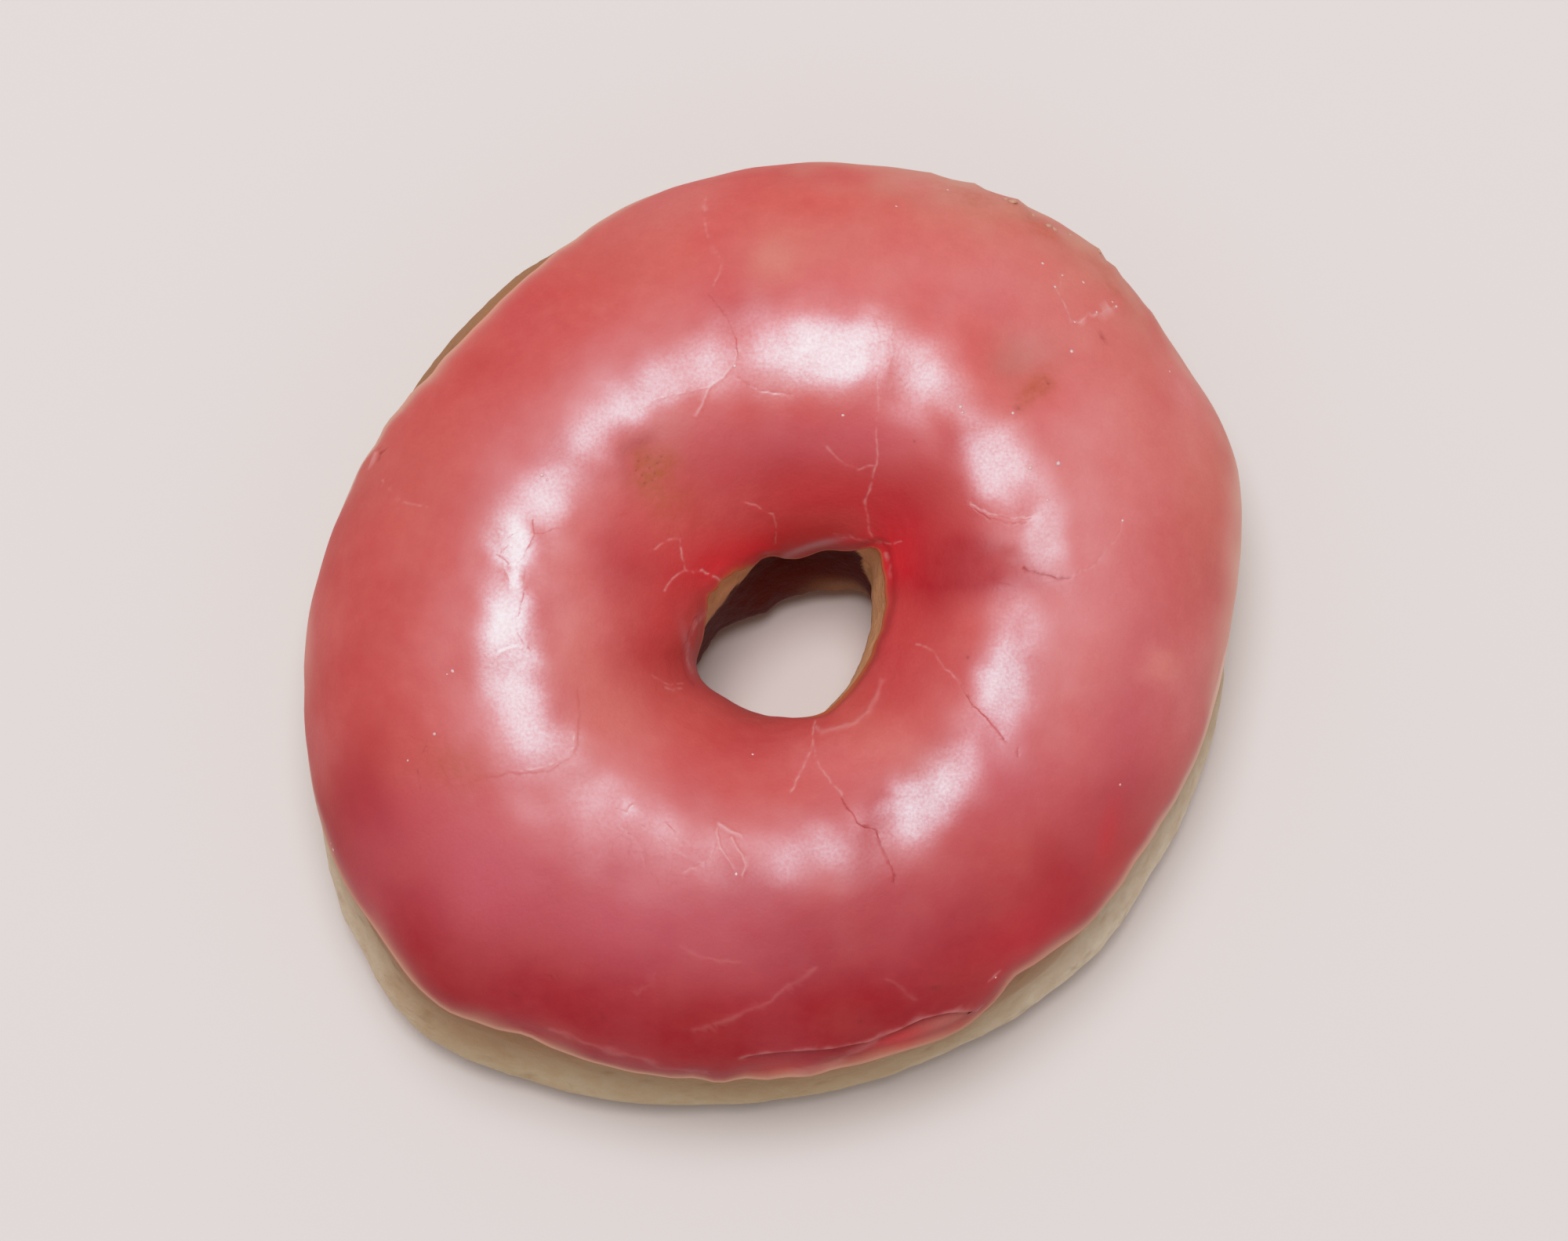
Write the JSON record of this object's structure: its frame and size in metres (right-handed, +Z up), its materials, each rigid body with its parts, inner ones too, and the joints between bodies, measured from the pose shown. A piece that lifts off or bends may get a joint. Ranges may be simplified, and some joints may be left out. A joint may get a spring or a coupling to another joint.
{
  "type": "strawberry iced ring doughnut",
  "caption": "Fried dough ring with an uneven outline, a pale waist and a small off-round hole, its top and the rim of its hole under a thin shell of strawberry icing.",
  "frame": {"origin": "under the middle of the doughnut's bounding box, on the surface that it lies on", "axes": "+Z up through the hole, with the icing on top; +Y towards the top of the picture and +X to its right, so the ring is longest along about 50 degrees from +X"},
  "size_m": [0.0901, 0.091, 0.0309],
  "materials": {
    "crust": null,
    "icing": null
  },
  "bodies": {
    "root": {"dough": "crust", "icing": "icing"}
  },
  "joints": []
}
